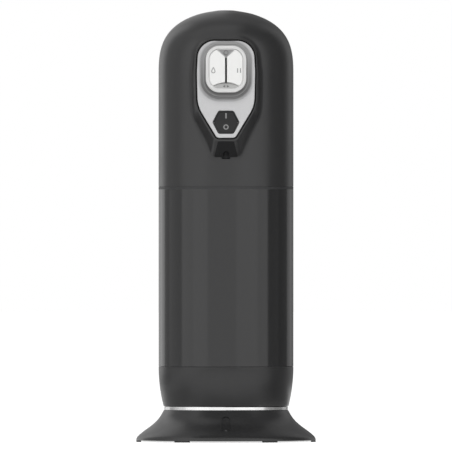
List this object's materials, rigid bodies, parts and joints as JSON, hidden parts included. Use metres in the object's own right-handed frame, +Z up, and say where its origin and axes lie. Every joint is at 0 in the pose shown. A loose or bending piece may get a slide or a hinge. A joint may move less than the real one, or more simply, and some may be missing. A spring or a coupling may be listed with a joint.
{
  "type": "soda carbonator",
  "caption": "Upright domed soda carbonator with a flared base, lift-off body and vessel, turning lock sleeve, and a head with push keys, rocker switch, spout and valves.",
  "frame": {"origin": "centre of the base on the plane the feet stand on", "axes": "+Z up through the dome, -Y towards the control panel, +X to the right of someone facing the panel"},
  "size_m": [0.179, 0.179, 0.43],
  "materials": {
    "shell_black": "semi-gloss lacquer",
    "sleeve_black": "semi-gloss lacquer",
    "chrome_ring": "polished",
    "fascia_silver": "satin silver lacquer",
    "key_white": "gloss",
    "frame_white": "satin",
    "well_grey": "matte",
    "black_rubber": "matte",
    "rocker_black": "satin",
    "black_plastic": "matte",
    "steel": "brushed",
    "brass": "machined",
    "grey_plastic": "matte",
    "hose_clear": "milky silicone",
    "board_green": "solder mask",
    "window_lens": "smoked"
  },
  "bodies": {
    "base": {"base_shell": "shell_black", "base_cover": "black_plastic", "base_screws": "steel", "accent_ring": "chrome_ring", "base_ballast": "steel", "dock_board": "board_green", "dock_pins": "brass", "dc_inlet": "black_plastic", "status_window": "window_lens", "foot_1": "black_rubber", "foot_2": "black_rubber", "foot_3": "black_rubber", "foot_4": "black_rubber", "foot_5": "black_rubber", "foot_6": "black_rubber"},
    "body": {"lower_skirt": "shell_black", "glide_ring": "grey_plastic", "body_contacts": "brass", "vessel_seat": "black_rubber", "vessel": "steel", "vessel_nut": "steel", "neck_collar": "black_plastic"},
    "sleeve": {"outer_sleeve": "sleeve_black", "lock_ring": "black_plastic"},
    "head": {"head_shell": "shell_black", "spout_insert": "black_plastic", "spout_nozzle": "black_plastic", "head_chassis": "black_plastic", "head_screws": "steel", "stopper": "grey_plastic", "stopper_ring": "black_rubber", "dip_tube": "steel", "gas_tube": "steel", "sparger": "brass", "relief_body": "brass", "relief_spring": "steel", "gas_charger": "steel", "charger_bay": "grey_plastic", "regulator": "brass", "gas_hoses": "hose_clear", "water_hoses": "hose_clear", "gas_valve": "brass", "gas_spring": "steel", "water_valve": "brass", "water_spring": "steel", "fascia": "fascia_silver", "fascia_gasket": "black_rubber", "well_ring": "well_grey", "key_frame": "frame_white", "control_board": "board_green", "board_screws": "steel", "rocker_housing": "black_plastic", "rocker_pin": "steel"},
    "relief": {"relief_poppet": "brass"},
    "cap": {"bay_cap": "black_plastic"},
    "gas_core": {"gas_plunger": "steel"},
    "water_core": {"water_plunger": "steel"},
    "water_key": {"left_key": "key_white"},
    "gas_key": {"right_key": "key_white"},
    "rocker": {"power_rocker": "rocker_black"}
  },
  "joints": [
    {"name": "body_lift", "type": "slide", "parent": "base", "child": "body", "axis": [0, 0, 1], "range_m": [0, 0.06]},
    {"name": "sleeve_turn", "type": "hinge", "parent": "body", "child": "sleeve", "pos_m": [0, 0, 0.163], "axis": [0, 0, 1], "range_deg": [0, 45]},
    {"name": "head_lift", "type": "slide", "parent": "body", "child": "head", "axis": [0, 0, 1], "range_m": [0, 0.23]},
    {"name": "relief_stroke", "type": "slide", "parent": "head", "child": "relief", "axis": [0, 0, 1], "range_m": [0, 0.003], "stiffness_N_per_m": 900, "springref_m": -0.001, "deforming": ["relief_spring"]},
    {"name": "cap_turn", "type": "hinge", "parent": "head", "child": "cap", "pos_m": [0, 0.042, 0.25], "axis": [0, 0, 1], "range_deg": [0, 90]},
    {"name": "gas_core_stroke", "type": "slide", "parent": "head", "child": "gas_core", "axis": [0, 0, 1], "range_m": [0, 0.0015], "stiffness_N_per_m": 700, "springref_m": -0.001, "deforming": ["gas_spring"]},
    {"name": "water_core_stroke", "type": "slide", "parent": "head", "child": "water_core", "axis": [0, 0, 1], "range_m": [0, 0.0015], "stiffness_N_per_m": 700, "springref_m": -0.001, "deforming": ["water_spring"]},
    {"name": "water_key_press", "type": "slide", "parent": "head", "child": "water_key", "axis": [0, 0.9836, -0.1805], "range_m": [0, 0.0012], "stiffness_N_per_m": 1200},
    {"name": "gas_key_press", "type": "slide", "parent": "head", "child": "gas_key", "axis": [0, 0.9836, -0.1805], "range_m": [0, 0.0012], "stiffness_N_per_m": 1200},
    {"name": "power_rock", "type": "hinge", "parent": "head", "child": "rocker", "pos_m": [0, -0.07638, 0.31759], "axis": [-1, 0, 0], "range_deg": [0, 12]}
  ]
}
